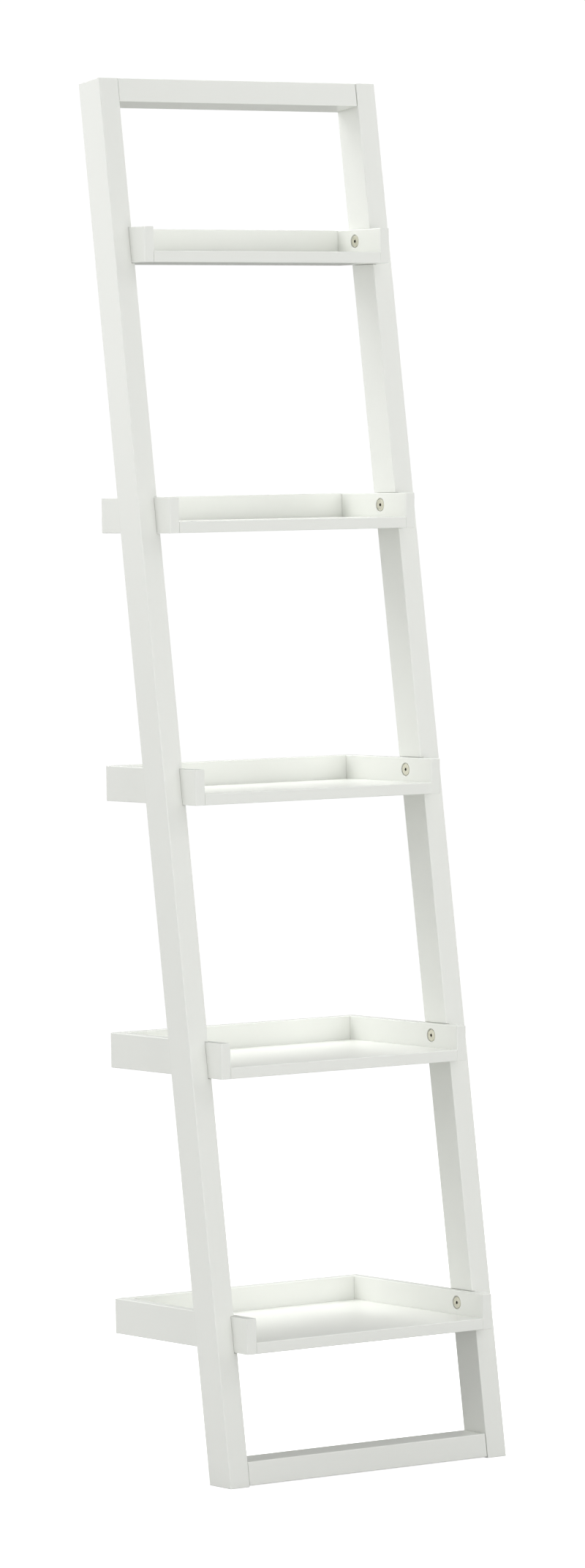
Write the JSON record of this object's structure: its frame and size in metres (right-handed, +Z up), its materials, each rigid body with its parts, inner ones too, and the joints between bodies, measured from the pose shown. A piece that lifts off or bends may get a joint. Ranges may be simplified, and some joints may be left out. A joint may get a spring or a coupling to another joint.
{
  "type": "ladder shelf",
  "caption": "Tall white shelf shaped like a ladder that leans back to a wall, with shallow open trays that get deeper towards the floor.",
  "frame": {"origin": "on the floor, midway between the stiles, in the upright plane of the tray backs where the wall is", "axes": "+X to the right seen from the front, +Y into the wall, +Z up"},
  "size_m": [0.45, 0.3045, 1.8396],
  "materials": {
    "white_paint": "smooth satin white paint on wood",
    "dowel_wood": "bare beech",
    "bolt_steel": "dull bronze plating",
    "insert_metal": "zinc plated"
  },
  "bodies": {
    "root": {"left_stile": "white_paint", "right_stile": "white_paint", "top_rail": "white_paint", "bottom_rail": "white_paint", "tray_1_bottom": "white_paint", "tray_1_back": "white_paint", "tray_1_left_side": "white_paint", "tray_1_right_side": "white_paint", "tray_2_bottom": "white_paint", "tray_2_back": "white_paint", "tray_2_left_side": "white_paint", "tray_2_right_side": "white_paint", "tray_3_bottom": "white_paint", "tray_3_back": "white_paint", "tray_3_left_side": "white_paint", "tray_3_right_side": "white_paint", "tray_4_bottom": "white_paint", "tray_4_back": "white_paint", "tray_4_left_side": "white_paint", "tray_4_right_side": "white_paint", "tray_5_bottom": "white_paint", "tray_5_back": "white_paint", "tray_5_left_side": "white_paint", "tray_5_right_side": "white_paint", "rail_dowels": "dowel_wood", "back_dowels": "dowel_wood", "bottom_dowels": "dowel_wood", "connector_bolts": "bolt_steel", "threaded_inserts": "insert_metal"}
  },
  "joints": []
}
